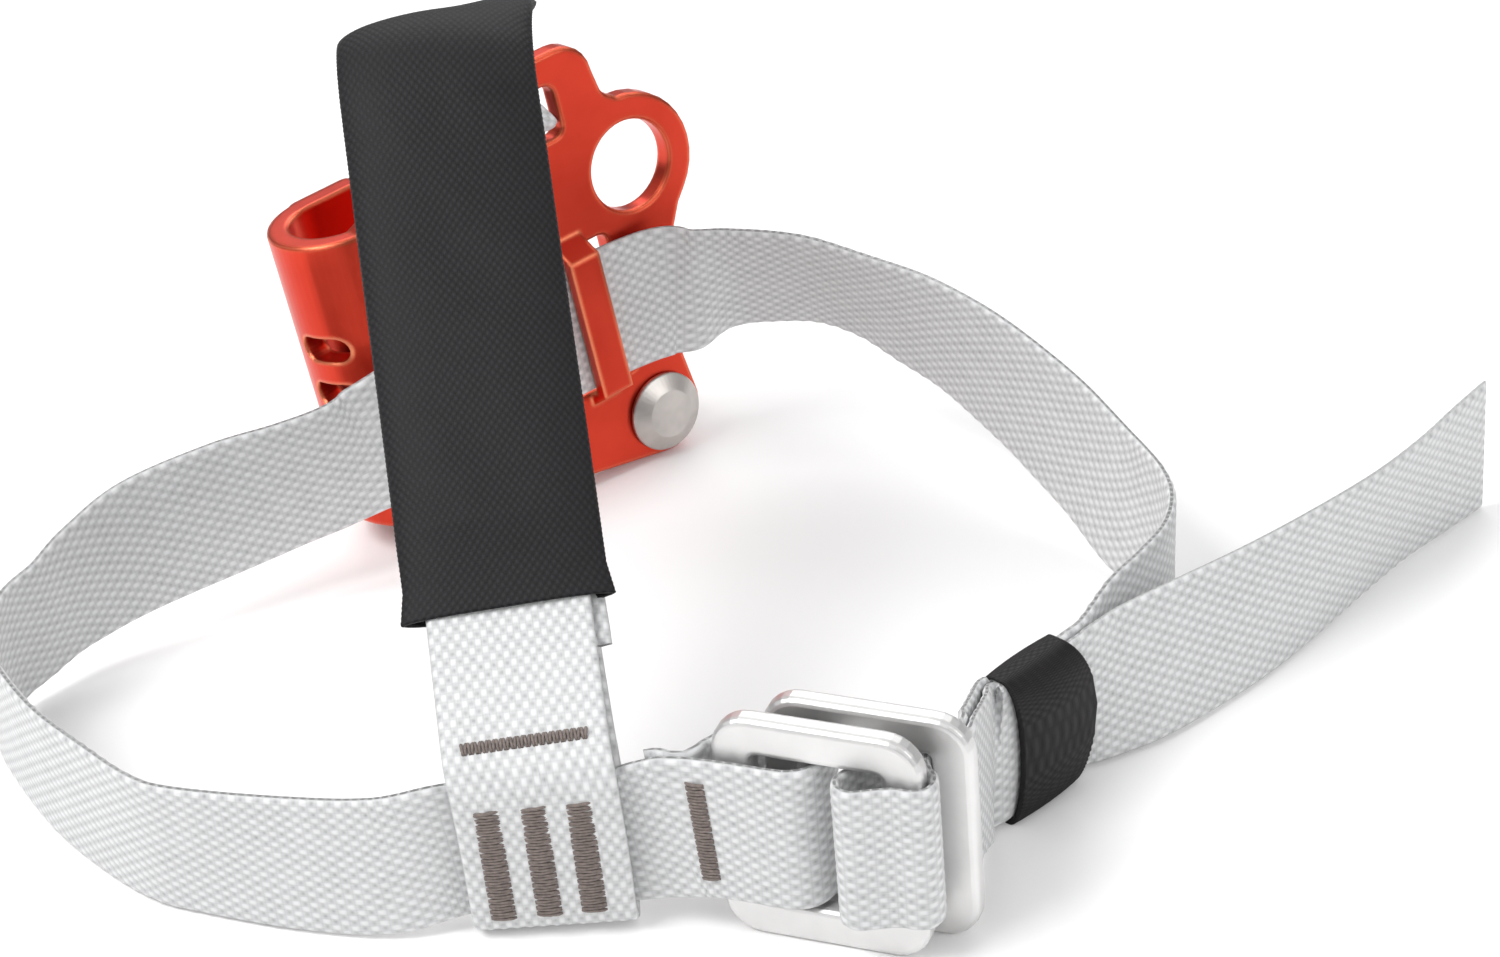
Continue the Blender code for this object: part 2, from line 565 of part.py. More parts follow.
def sole_route():
    """From the cut end behind the ankle strap, under it, up its front, over the sole and into the frame's slot."""
    x0 = -35.9
    flat = [(x0 - 2.2, -49.2, 38.1, -4, 0), (x0 - 1.6, -55.0, 33.8, -4, 0), (x0 - 0.8, -62.6, 29.2, -4, 0),
            (x0 - 0.2, -66.1, 25.0, -4, 2), (x0, -65.6, 15.0, -4, 4), (x0 + 0.2, -65.1, 5.0, -4, 4),
            (x0 + 0.2, -65.9, 2.4, -4, 2), (x0 + 0.2, -68.0, 1.5, -4, 0), (x0 + 0.1, -70.1, 2.4, -4, 2),
            (x0, -71.0, 5.0, -4, 4), (x0 - 0.2, -71.6, 15.0, -4, 4), (x0 - 0.6, -72.3, 26.0, -4, 3),
            (x0 - 0.9, -71.5, 29.7, -4, 3), (x0 - 1.4, -68.2, 32.8, -4, 2), (x0 - 2.2, -57.4, 39.2, -4, 1),
            (x0 - 3.0, -47.0, 45.0, -3, 0), (x0 - 4.6, -28.0, 61.0, -2, 0), (x0 - 6.4, -8.0, 78.4, 0, 0),
            (x0 - 7.8, 8.0, 93.4, 2, 0), (x0 - 8.6, 17.0, 100.8, 4, 0), (x0 - 8.9, 24.0, 104.2, 6, 0),
            (x0 - 8.9, 31.0, 104.2, 12, 1), (x0 - 8.4, 38.0, 101.0, 20, 3)]
    turn = math.degrees(POSE.z)
    tip = SLOT_TIP
    ends = [(-26.4, -9.0, 86.0), (-26.0, -4.6, 78.5), (-25.6, -2.3, 73.0), (-25.0, -1.8, 69.5), (-22.5, -1.4, 65.5),
            (-20.6, -0.6, 62.0), (-20.0, 1.9, 60.5), (-20.0, 4.6, 62.0), (-20.2, 5.8, 66.0), (-20.6, 5.9, 72.0),
            (-21.4, 4.2, 76.0), (-22.6, 1.0, 78.2), (-23.4, -1.6, 80.4)]
    return flat + [(*on_plate(*end, turn), tip) for end in ends]


def sleeve_loop(across, out, bulge):
    """Flat oval section round the webbing, as offsets from its centre line."""
    half_w = SLEEVE_W / 2 - 0.5
    half_t = SLEEVE_T / 2
    points = []
    for u, v in ((-1, 0), (-0.97, 0.55), (-0.8, 0.95), (-0.4, 1.0 + bulge), (0, 1.0 + 1.3 * bulge),
                 (0.4, 1.0 + bulge), (0.8, 0.95), (0.97, 0.55), (1, 0), (0.97, -0.55), (0.8, -0.95),
                 (0.4, -1.0), (0, -1.0), (-0.4, -1.0), (-0.8, -0.95), (-0.97, -0.55)):
        points.append(across * (u * half_w) + out * (v * half_t))
    return points


def make_sleeve(parts, route):
    """Woven tube round the sole strap, as an open surface with a wall."""
    mesh = bpy.data.meshes.new("sole_sleeve")
    shape = bmesh.new()
    loops = []
    last = len(route) - 1
    for i in range(last + 1):
        across = lying(route, i)
        along = tangent(route, i)
        out = across.cross(along)
        if out.z < 0 and along.z > 0 or (out.y < 0 and along.z <= 0):
            out = -out
        t = i / last
        bulge = 0.35 * max(0.0, 1 - abs(t - 0.72) / 0.2)
        centre = Vector(route[i][:3])
        loops.append([shape.verts.new((centre + p) * MM) for p in sleeve_loop(across, out, bulge)])
    for low, high in zip(loops, loops[1:]):
        for k in range(len(low)):
            n = (k + 1) % len(low)
            shape.faces.new((low[k], low[n], high[n], high[k]))
    bmesh.ops.recalc_face_normals(shape, faces=shape.faces)
    shape.to_mesh(mesh)
    shape.free()
    obj = link(parts, "sole_sleeve", mesh, "black_sleeve")
    thicken = obj.modifiers.new("wall", "SOLIDIFY")
    thicken.thickness = SLEEVE_WALL * MM
    thicken.offset = 0


# ---- buckle and keeper ----

def make_ring(parts, name, u, v):
    """A rectangular ring standing on its edge. Its origin is the middle of the bar in the sewn loop."""
    holder = bpy.data.objects.new(name + "_axis", None)
    parts.objects.link(holder)
    bar = - RING_W / 2 + RING_BAR / 2
    x, y, z, _ = at_buckle(u + bar, v, RING_H / 2, 0)
    holder.location = (x * MM, y * MM, z * MM)
    holder.rotation_euler = (0, 0, RING_TURN)
    low, high = - RING_W / 2 - bar, RING_W / 2 - bar
    half = RING_H / 2
    loops = []
    for hole in (False, True):
        levels = []
        for i in range(2 * RING_EDGE_STEPS + 2):
            side = -1 if i <= RING_EDGE_STEPS else 1
            angle = math.radians(90 * min(i, 2 * RING_EDGE_STEPS + 1 - i) / RING_EDGE_STEPS)
            inset = RING_EDGE * (1 - math.sin(angle))
            y = side * (RING_T / 2 - RING_EDGE * (1 - math.cos(angle)))
            levels.append((inset, y))
        for inset, y in (reversed(levels) if hole else levels):
            grow = inset - RING_BAR if hole else -inset
            radius = 0.9 + inset if hole else 6.0 - inset
            outline = rounded_rectangle(low - grow, -half - grow, high + grow, half + grow, radius, 7)
            loops.append([(u, y, v) for u, v in outline])
    link(parts, name, closed_band(name, loops), "buckle_metal", holder)


def closed_band(name, loops):
    """A closed solid from loops of equal length, the last joined back to the first."""
    mesh = bpy.data.meshes.new(name)
    shape = bmesh.new()
    rows = [[shape.verts.new(Vector(p) * MM) for p in loop] for loop in loops]
    for low, high in zip(rows, rows[1:] + rows[:1]):
        for k in range(len(low)):
            n = (k + 1) % len(low)
            shape.faces.new((low[k], low[n], high[n], high[k]))
    bmesh.ops.recalc_face_normals(shape, faces=shape.faces)
    shape.to_mesh(mesh)
    shape.free()
    return mesh


def make_keeper(parts):
    """Elastic band round the two layers. Its section is a flat oval, extruded along the webbing."""
    holder = bpy.data.objects.new("keeper_axis", None)
    parts.objects.link(holder)
    holder.location = (KEEPER_AT[0] * MM, KEEPER_AT[1] * MM, KEEPER_Z * MM)
    holder.rotation_euler = (0, 0, KEEPER_TURN)
    inner_v = WEB_T + TOUCH / 2 + 0.35
    inner_z = WEB_W / 2 + 0.3
    inner = rounded_rectangle(-inner_v, -inner_z, inner_v, inner_z, 0.9, 4)
    outer = rounded_rectangle(-inner_v - KEEPER_BAND, -inner_z - 0.5, inner_v + KEEPER_BAND, inner_z + 0.5, 1.8, 5)
    mesh = end_prism("keeper", [outer, inner], -KEEPER_L / 2, KEEPER_L / 2)
    link(parts, "keeper", mesh, "black_elastic", holder)


# ---- sewn bar tacks, flat blocks of thread lying on the webbing ----

def make_tack(parts, name, centre, across, along, length, width):
    """A low block of thread. across and along are directions in the webbing's face."""
    across = Vector(across).normalized()
    along = Vector(along).normalized()
    out = across.cross(along)
    matrix = Matrix((across, along, out)).transposed().to_4x4()
    matrix.translation = Vector(centre) * MM
    outline = rounded_rectangle(-length / 2, -width / 2, length / 2, width / 2, 0.5, 3)
    mesh = mesh_from_curve(flat_curve(name, [outline], 0.5), matrix)
    link(parts, name, mesh, "tack_thread")


def face_of(route, i, across, side):
    """Middle of the webbing's face at a station, and the directions across and along it."""
    along = tangent(route, i)
    wide = across(route, i)
    out = wide.cross(along) * side
    centre = Vector(route[i][:3]) + out * (WEB_T / 2 + 0.25 + 0.2)
    return centre, wide, along


def make_tacks(parts, sole, ankle):
    """Three upright tacks and one cross tack at the sole strap's joint, and one on the rings' loop."""
    middle = nearest_height(sole, -70.0, 14.0)
    centre, wide, along = face_of(sole, middle, lying, 1)
    if centre.y > sole[middle][1]:
        centre, wide, along = face_of(sole, middle, lying, -1)
    for name, shift in (("joint_tack_left", -7.6), ("joint_tack_middle", -0.6), ("joint_tack_right", 6.2)):
        make_tack(parts, name, centre + wide * shift + along * 1.3, along, wide, 20.5, 3.6)
    upper = nearest_height(sole, -67.4, 33.3)
    centre, wide, along = face_of(sole, upper, lying, 1)
    if centre.z < sole[upper][2]:
        centre, wide, along = face_of(sole, upper, lying, -1)
    make_tack(parts, "joint_tack_cross", centre, wide, along, 19.0, 1.7)
    loop = [i for i, s in enumerate(ankle) if abs(s[0] + 11.8) < 1.6 and s[1] < -70.5][-1]
    centre, wide, along = face_of(ankle, loop, standing, 1)
    if centre.y > ankle[loop][1]:
        centre, wide, along = face_of(ankle, loop, standing, -1)
    make_tack(parts, "loop_tack", centre, wide, along, 17.5, 2.8)


def nearest_height(route, y, z):
    return min(range(len(route)), key=lambda i: (route[i][1] - y) ** 2 + (route[i][2] - z) ** 2)


def main():
    clear_scene()
    parts = make_collection(NAME)
    cutters = make_collection("cutters")
    pose = bpy.data.objects.new("frame_pose", None)
    parts.objects.link(pose)
    pose.location = [c * MM for c in PIVOT_AT]
    pose.rotation_euler = POSE
    make_frame(parts, cutters, pose)
    make_pivot(parts, pose)
    make_stop_pin(parts, pose)
    make_cam(parts, cutters, pose)
    make_spring(parts, pose)
    ankle = smooth_route(ankle_route(), 1.5)
    cuts = [nearest(ankle, -50.0, -68.0), nearest(ankle, -124.5, -14.0), nearest(ankle, -72.7, 31.4),
            nearest(ankle, -5.0, 73.6), nearest(ankle, 60.5, 19.0)]
    names = ("strap_ring_loop", "strap_ankle_front", "strap_ankle_left", "strap_over_plate", "strap_ankle_right",
             "strap_return")
    cut_strips(parts, names, ankle, standing, cuts)
    buckle = smooth_route(buckle_route(), 1.0)
    away = tangent(buckle, 0) * TOUCH
    buckle[0] = Vector((*(Vector(buckle[0][:3]) + away), buckle[0][3]))
    x, y, _, _ = at_keeper(12.0, -1.2, 0, 0)
    cut_strips(parts, ("strap_in_buckle", "strap_tail"), buckle, standing, [nearest(buckle, x, y)], WEB_T - 0.2)
    sole = smooth_route(sole_route(), 1.5)
    cut_strips(parts, ("sole_strap_joint", "sole_strap"), sole, lying, [nearest_height(sole, -56.0, 40.0)])
    hem = nearest_height(sole, -47.0, 45.0)
    end = nearest_height(sole, 46.0, 96.0)
    make_sleeve(parts, sole[hem:end + 1:2])
    make_ring(parts, "buckle_front_ring", 0, 0)
    make_ring(parts, "buckle_rear_ring", *RING_STEP)
    make_keeper(parts)
    make_tacks(parts, sole, ankle)
    origin = bpy.data.objects.new("object_origin", None)
    for obj in parts.objects:
        if obj.parent is None:
            obj.parent = origin
    parts.objects.link(origin)
    origin.location = [c * MM for c in CENTRE]


main()
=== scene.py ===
"""Looks of the foot ascender: woven webbing, sleeve, keeper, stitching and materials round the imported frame.

Lengths are millimetres until MM turns them into metres. Routes are written in the axes the parts were laid
out in, and SHIFT moves them into the row frame.
"""
import math
import random

import bmesh
import bpy
from mathutils import Euler, Matrix, Vector


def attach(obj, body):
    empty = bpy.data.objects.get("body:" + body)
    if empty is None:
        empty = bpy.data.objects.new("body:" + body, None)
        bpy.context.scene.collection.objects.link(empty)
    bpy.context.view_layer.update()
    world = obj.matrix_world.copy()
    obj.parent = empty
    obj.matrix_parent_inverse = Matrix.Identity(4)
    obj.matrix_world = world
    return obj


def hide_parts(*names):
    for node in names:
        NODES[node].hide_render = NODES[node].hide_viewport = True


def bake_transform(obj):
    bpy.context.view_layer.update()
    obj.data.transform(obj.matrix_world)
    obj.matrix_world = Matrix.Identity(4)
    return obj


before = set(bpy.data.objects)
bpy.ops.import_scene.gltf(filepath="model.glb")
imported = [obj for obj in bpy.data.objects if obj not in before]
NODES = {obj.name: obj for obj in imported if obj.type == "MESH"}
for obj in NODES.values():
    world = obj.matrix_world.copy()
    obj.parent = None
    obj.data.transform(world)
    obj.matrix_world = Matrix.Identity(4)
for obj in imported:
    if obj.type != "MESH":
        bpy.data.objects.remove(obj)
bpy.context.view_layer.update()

MM = 0.001
SHIFT = Vector((1.653, -0.918, 0.0))
TAU = 2 * math.pi

# ---- layout ----
POSE = Euler((math.radians(-6.4), math.radians(-5.0), math.radians(35.7)), "XYZ").to_matrix()
PIVOT_AT = Vector((-15.6, 69.5, 8.9))
RING_TURN = math.radians(-23.4)
RING_AT = (5.3, -77.4)
LOOP_Z = 19.5
KEEPER_AT = (39.9, -46.0)
KEEPER_TURN = math.radians(43.0)
KEEPER_L = 14.5
KEEPER_Z = 13.3
SLOT_TIP = 5.0

# ---- webbing ----
WEB_W = 25.0
WEB_T = 1.75
PICK = 1.45                # pitch of the weave along the webbing
RIB = 1.0                  # pitch of the warp yarns across it
RELIEF = 0.20              # height of the yarns' crowns
SELVEDGE = 1.1             # width of the rounded edge
THIN_WEB_T = 1.55          # thickness where two layers share the keeper
ACROSS = 44                # mesh columns over the webbing's width
STEP = PICK / 2
SPLINE_STEPS = 24          # points between two stations before resampling

# ---- sleeve ----
SLEEVE_ROWS = 0.8          # pitch of the weave along the sleeve
SLEEVE_RIB = 0.62          # and round it
SLEEVE_GIRTH = 67.0        # the length its ribs are counted over
SLEEVE_HALF_W = 15.6
SLEEVE_HALF_T = 3.1
SLEEVE_WALL = 0.6
SLEEVE_HEM_Z = 44.0        # the hem is where the sole webbing passes this height
SLEEVE_END_Y = 46.0        # and the far end where it passes this depth
OUTLINE_POINTS = 720


# ---- small helpers ----

def mesh_object(name, verts, faces, uvs=None, ride=True):
    """A mesh from points in millimetres in the layout's axes. uvs has one pair per vertex."""
    mesh = bpy.data.meshes.new(name)
    mesh.from_pydata([((Vector(v) + SHIFT) * MM)[:] for v in verts], [], faces)
    if uvs:
        layer = mesh.uv_layers.new(name="weave")
        for loop in mesh.loops:
            layer.data[loop.index].uv = uvs[loop.vertex_index]
    for polygon in mesh.polygons:
        polygon.use_smooth = True
    mesh.update()
    obj = bpy.data.objects.new(name, mesh)
    bpy.context.scene.collection.objects.link(obj)
    if ride:
        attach(obj, "frame")
    return obj


def smooth_route(stations, step):
    """A smooth line through the stations, resampled every step millimetres."""
    points = [Vector(s) for s in stations]
    points = [2 * points[0] - points[1]] + points + [2 * points[-1] - points[-2]]
    dense = []
    for a, b, c, d in zip(points, points[1:], points[2:], points[3:]):
        for i in range(SPLINE_STEPS):
            t = i / SPLINE_STEPS
            dense.append(0.5 * (2 * b + (c - a) * t + (2 * a - 5 * b + 4 * c - d) * t ** 2
                                + (3 * b - a - 3 * c + d) * t ** 3))
    dense.append(points[-2])
    reach = [0.0]
    for a, b in zip(dense, dense[1:]):
        reach.append(reach[-1] + (Vector(b[:3]) - Vector(a[:3])).length)
    count = max(2, round(reach[-1] / step))
    route, k = [], 0
    for i in range(count + 1):
        wanted = reach[-1] * i / count
        while k < len(reach) - 2 and reach[k + 1] < wanted:
            k += 1
        t = (wanted - reach[k]) / max(reach[k + 1] - reach[k], 1e-9)
        route.append(dense[k].lerp(dense[k + 1], t))
    return route, reach[-1] / count


def tangent(route, i):
    before = Vector(route[max(i - 1, 0)][:3])
    after = Vector(route[min(i + 1, len(route) - 1)][:3])
    return (after - before).normalized()


def standing(route, i):
    """Across direction of webbing that stands on its edge and leans to its right by the fourth value."""
    along = tangent(route, i)
    up = Vector((0, 0, 1))
    up = (up - along * along.z).normalized()
    lean = math.radians(route[i][3])
    return up * math.cos(lean) + along.cross(up) * math.sin(lean)


def lying(route, i):
    """Across direction of webbing that lies flat, turned and tipped by the fourth and fifth values."""
    along = tangent(route, i)
    turn = math.radians(route[i][3])
    tip = math.radians(route[i][4])
    side = Vector((math.cos(turn) * math.cos(tip), math.sin(turn) * math.cos(tip), math.sin(tip)))
    square = 1 - min(1.0, route[i][4] / SLOT_TIP)
    return (side - along * along.dot(side) * square).normalized()


def on_plate(x, y, z, lean=0.0):
    return (*(PIVOT_AT + POSE @ Vector((x, y, z))), lean)


def turned_place(at, turn, u, v, z, lean):
    along = Vector((math.cos(turn), math.sin(turn)))
    place = Vector(at) + along * u + Vector((-along.y, along.x)) * v
    return (place.x, place.y, z, lean)


def at_buckle(u, v, z, lean=0.0):
    return turned_place(RING_AT, RING_TURN, u, v, z, lean)


def at_keeper(u, v, z, lean=0.0):
    return turned_place(KEEPER_AT, KEEPER_TURN, u, v, z, lean)


# ---- routes ----

def ankle_stations():
    """From the rings' sewn loop round the ankle, over the frame's front and round to the keeper."""
    loop = [(-24.0, -1.1, -1.3), (-19.6, -1.0, -0.1), (-18.4, 1.5, 0), (-14.4, 7.4, 0), (-10.5, 9.7, 0),
            (-7.0, 10.2, 0), (-3.6, 9.8, 0), (-1.0, 7.5, 0), (0.2, 3.4, 0), (-0.9, -0.6, 0), (-3.4, -2.7, 0),
            (-7.0, -3.15, 0), (-13.5, -3.2, 0), (-19.5, -3.2, -0.4), (-24.0, -3.3, -1.5)]
    stations = [at_buckle(u, v, LOOP_Z + z) for u, v, z in loop]
    stations += [(-24.5, -69.6, 16.6, -3), (-36.0, -68.5, 15.6, -3), (-49.0, -67.8, 15.4, -3),
                 (-61.0, -68.0, 13.6, 0), (-75.4, -64.2, 12.9, -1), (-91.4, -58.3, 12.8, -5),
                 (-98.0, -54.4, 12.8, -4), (-105.4, -46.7, 12.8, -2), (-115.5, -33.8, 12.8, -2),
                 (-123.5, -19.0, 12.8, -1), (-127.0, -8.4, 13.2, 3), (-125.0, 0.0, 14.4, 8),
                 (-119.7, 6.1, 16.0, 9),
                 (-113.7, 12.2, 18.1, 4), (-104.3, 19.4, 20.3, -4), (-90.6, 25.5, 22.3, -4),
                 (-79.9, 29.0, 23.7, 2),
                 (-72.7, 31.4, 24.7, 3), (-67.0, 34.2, 25.7, 0)]
    stations += [on_plate(-55.0, -2.2, 23.2, -5), on_plate(-46.0, -1.35, 23.8, -6),
                 on_plate(-34.0, -1.25, 24.3, -6),
                 on_plate(-10.6, -1.25, 24.0, -6), on_plate(0.0, -1.6, 23.4, -6),
                 on_plate(5.5, -3.1, 22.9, -4)]
    return stations + [(-8.0, 71.3, 32.1, 3), (-1.4, 73.6, 32.6, 18), (6.1, 72.6, 32.7, 22),
                       (13.5, 70.6, 32.3, 24),
                       (20.6, 67.1, 30.8, 22), (27.6, 62.1, 28.8, 15), (34.8, 56.1, 26.8, 9),
                       (42.0, 48.3, 24.0, 2),
                       (49.1, 39.2, 20.5, -3), (55.8, 29.2, 16.5, -8), (61.2, 17.5, 13.4, -12),
                       (65.2, 8.0, 12.9, -8), (66.8, -1.0, 12.9, -3), (65.0, -10.0, 13.0, 0),
                       (59.6, -19.0, 13.6, 0), (54.2, -26.5, 14.0, 0), at_keeper(13.5, 1.6, KEEPER_Z),
                       at_keeper(9.0, 1.1, KEEPER_Z), at_keeper(0.0, 1.05, KEEPER_Z)]


def buckle_stations():
    """From the keeper behind both rings, round the front ring's bar and back into the keeper."""
    start = [at_keeper(0.0, 1.05, KEEPER_Z), at_keeper(-9.4, 1.05, KEEPER_Z + 0.2),
             at_keeper(-12.0, 1.0, KEEPER_Z + 0.8)]
    inside = [(14.3, 26.0, 15.8), (15.3, 19.0, 17.8), (15.8, 14.9, 19.2), (14.7, 12.5, LOOP_Z),
              (12.8, 10.6, LOOP_Z), (10.2, 7.3, LOOP_Z), (7.4, 3.5, LOOP_Z), (4.8, 0.6, LOOP_Z),
              (3.5, -2.0, LOOP_Z),
              (4.1, -4.4, LOOP_Z), (6.4, -5.3, LOOP_Z), (9.5, -4.0, LOOP_Z), (12.2, -2.95, LOOP_Z),
              (14.6, -2.85, LOOP_Z), (16.7, -2.0, LOOP_Z), (17.45, 0.1, LOOP_Z), (16.9, 2.0, LOOP_Z),
              (15.8, 3.3, LOOP_Z), (14.8, 4.6, LOOP_Z), (14.2, 6.75, LOOP_Z), (14.9, 8.9, LOOP_Z),
              (16.6, 10.5, LOOP_Z), (17.9, 13.0, 19.4), (17.4, 19.0, 17.8), (16.5, 26.0, 15.8)]
    end = [at_keeper(-12.0, -1.1, KEEPER_Z + 0.6), at_keeper(-9.4, -1.05, KEEPER_Z + 0.2),
           at_keeper(0.0, -1.05, KEEPER_Z)]
    return start + [at_buckle(*s) for s in inside] + end


def tail_stations():
    return [at_keeper(0.0, -1.05, KEEPER_Z), at_keeper(9.0, -1.05, KEEPER_Z),
            at_keeper(11.5, -1.2, KEEPER_Z, -2),
            (54.0, -35.7, 13.0, -8), (61.4, -31.2, 13.0, -11), (76.4, -20.4, 12.8, -6),
            (88.2, -10.4, 12.8, 0),
            (99.8, 0.7, 12.8, 6), (109.4, 10.7, 12.8, 7), (117.6, 19.1, 12.8, 3), (124.8, 26.4, 12.8, 0)]


def sole_stations():
    """From the cut end behind the ankle strap, up its front, over the sole and into the frame's slot."""
    x0 = -35.9
    flat = [(-2.2, -49.2, 38.1, -4, 0), (-1.6, -55.0, 33.8, -4, 0), (-0.8, -62.6, 29.2, -4, 0),
            (-0.2, -66.1, 25.0, -4, 2), (0, -65.6, 15.0, -4, 4), (0.2, -65.1, 5.0, -4, 4),
            (0.2, -65.9, 2.4, -4, 2), (0.2, -68.0, 1.5, -4, 0), (0.1, -70.1, 2.4, -4, 2),
            (0, -71.0, 5.0, -4, 4), (-0.2, -71.6, 15.0, -4, 4), (-0.6, -72.3, 26.0, -4, 3),
            (-0.9, -71.5, 29.7, -4, 3), (-1.4, -68.2, 32.8, -4, 2), (-2.2, -57.4, 39.2, -4, 1),
            (-3.0, -47.0, 45.0, -3, 0), (-4.6, -28.0, 61.0, -2, 0), (-6.4, -8.0, 78.4, 0, 0),
            (-7.8, 8.0, 93.4, 2, 0), (-8.6, 17.0, 100.8, 4, 0), (-8.9, 24.0, 104.2, 6, 0),
            (-8.9, 31.0, 104.2, 12, 1), (-8.4, 38.0, 101.0, 20, 3)]
    ends = [(-26.4, -9.0, 86.0), (-26.0, -4.6, 78.5), (-25.2, -2.3, 73.0), (-24.0, -1.8, 69.5),
            (-21.4, -1.4, 65.5),
            (-19.2, -0.6, 62.0), (-18.4, 1.9, 60.5), (-18.4, 4.6, 62.0), (-18.8, 5.8, 66.0),
            (-19.6, 5.9, 72.0),
            (-20.8, 4.2, 76.0), (-22.6, 1.0, 78.2), (-23.4, -1.6, 80.4)]
    turn = 35.7
    return [(x0 + x, *rest) for x, *rest in flat] + [(*on_plate(*end)[:3], turn, SLOT_TIP) for end in ends]


# ---- woven webbing ----

def woven(u, v):
    """Height of the weave's crowns, from -1 to 1, at u along and v across."""
    return math.cos(math.pi * u / PICK) * math.cos(math.pi * v / RIB)


def web_section():
    """Offsets across the webbing and the thickness left there, from one selvedge to the other."""
    offsets = []
    for k in range(ACROSS + 1):
        v = -WEB_W / 2 + WEB_W * k / ACROSS
        edge = (WEB_W / 2 - abs(v)) / SELVEDGE
        full = 1.0 if edge >= 1 else 0.35 + 0.65 * math.sqrt(max(0.0, 1 - (1 - edge) ** 2))
        offsets.append((v, full))
    return offsets


def webbing(name, stations, across, material, start=0.0, thickness=WEB_T, ride=True):
    """A length of woven webbing along the stations. start continues the weave of an earlier length."""
    route, step = smooth_route(stations, STEP)
    section = web_section()
    verts, faces, uvs = [], [], []
    row = 2 * len(section)
    for i, station in enumerate(route):
        along = tangent(route, i)
        wide = across(route, i)
        out = wide.cross(along).normalized()
        u = start + i * step
        end = min(i, len(route) - 1 - i) * step
        soft = min(1.0, 0.45 + 0.55 * end / 0.9)
        for side in (1, -1):
            for v, full in (section if side == 1 else reversed(section)):
                lift = thickness / 2 * full * soft - RELIEF / 2 * full
                lift += RELIEF / 2 * full * woven(u, v + (0 if side == 1 else RIB))
                centre = Vector(station[:3]) + wide * v
                verts.append(centre + out * (side * lift))
                uvs.append((u * MM, v * MM + (0 if side == 1 else 0.05)))
    for i in range(len(route) - 1):
        a, b = i * row, (i + 1) * row
        for k in range(row):
            n = (k + 1) % row
            faces.append((a + k, a + n, b + n, b + k))
    for base, order in ((0, 1), (len(route) - 1, -1)):
        for k in range(len(section) - 1):
            quad = [base * row + j for j in (k, k + 1, row - 2 - k, row - 1 - k)]
            faces.append(tuple(reversed(quad)) if order == 1 else tuple(quad))
    obj = mesh_object(name, verts, faces, uvs, ride=ride)
    fix_normals(obj)
    obj.data.materials.append(material)
    return obj, route, start + (len(route) - 1) * step


def fix_normals(obj):
    shape = bmesh.new()
    shape.from_mesh(obj.data)
    bmesh.ops.recalc_face_normals(shape, faces=shape.faces)
    shape.to_mesh(obj.data)
    shape.free()


# ---- materials ----

def new_material(name, colour, roughness, metallic=0.0):
    material = bpy.data.materials.new(name)
    material.use_nodes = True
    shader = material.node_tree.nodes["Principled BSDF"]
    shader.inputs["Base Color"].default_value = (*colour, 1)
    shader.inputs["Roughness"].default_value = roughness
    shader.inputs["Metallic"].default_value = metallic
    return material, shader, material.node_tree


def add(tree, kind, **values):
    node = tree.nodes.new(kind)
    for key, value in values.items():
        setattr(node, key, value)
    return node


def math_node(tree, operation, a, b=None, c=None):
    node = add(tree, "ShaderNodeMath", operation=operation)
    for index, value in enumerate((a, b, c)):
        if value is None:
            continue
        if isinstance(value, (int, float)):
            node.inputs[index].default_value = value
        else:
            tree.links.new(value, node.inputs[index])
    return node.outputs[0]


def ramp(tree, source, stops):
    node = add(tree, "ShaderNodeValToRGB")
    elements = node.color_ramp.elements
    while len(elements) < len(stops):
        elements.new(0.5)
    for element, (place, colour) in zip(elements, stops):
        element.position = place
        element.color = (*colour, 1) if len(colour) == 3 else colour
    tree.links.new(source, node.inputs[0])
    return node.outputs[0]


def bump(tree, shader, height, distance, strength=1.0, normal=None):
    node = add(tree, "ShaderNodeBump")
    node.inputs["Strength"].default_value = strength
    node.inputs["Distance"].default_value = distance
    tree.links.new(height, node.inputs["Height"])
    if normal:
        tree.links.new(normal, node.inputs["Normal"])
    tree.links.new(node.outputs[0], shader.inputs["Normal"])
    return node


def noise(tree, coordinates, scale, detail=3.0, roughness=0.55):
    node = add(tree, "ShaderNodeTexNoise")
    node.inputs["Scale"].default_value = scale
    node.inputs["Detail"].default_value = detail
    node.inputs["Roughness"].default_value = roughness
    tree.links.new(coordinates, node.inputs["Vector"])
    return node.outputs["Fac"]


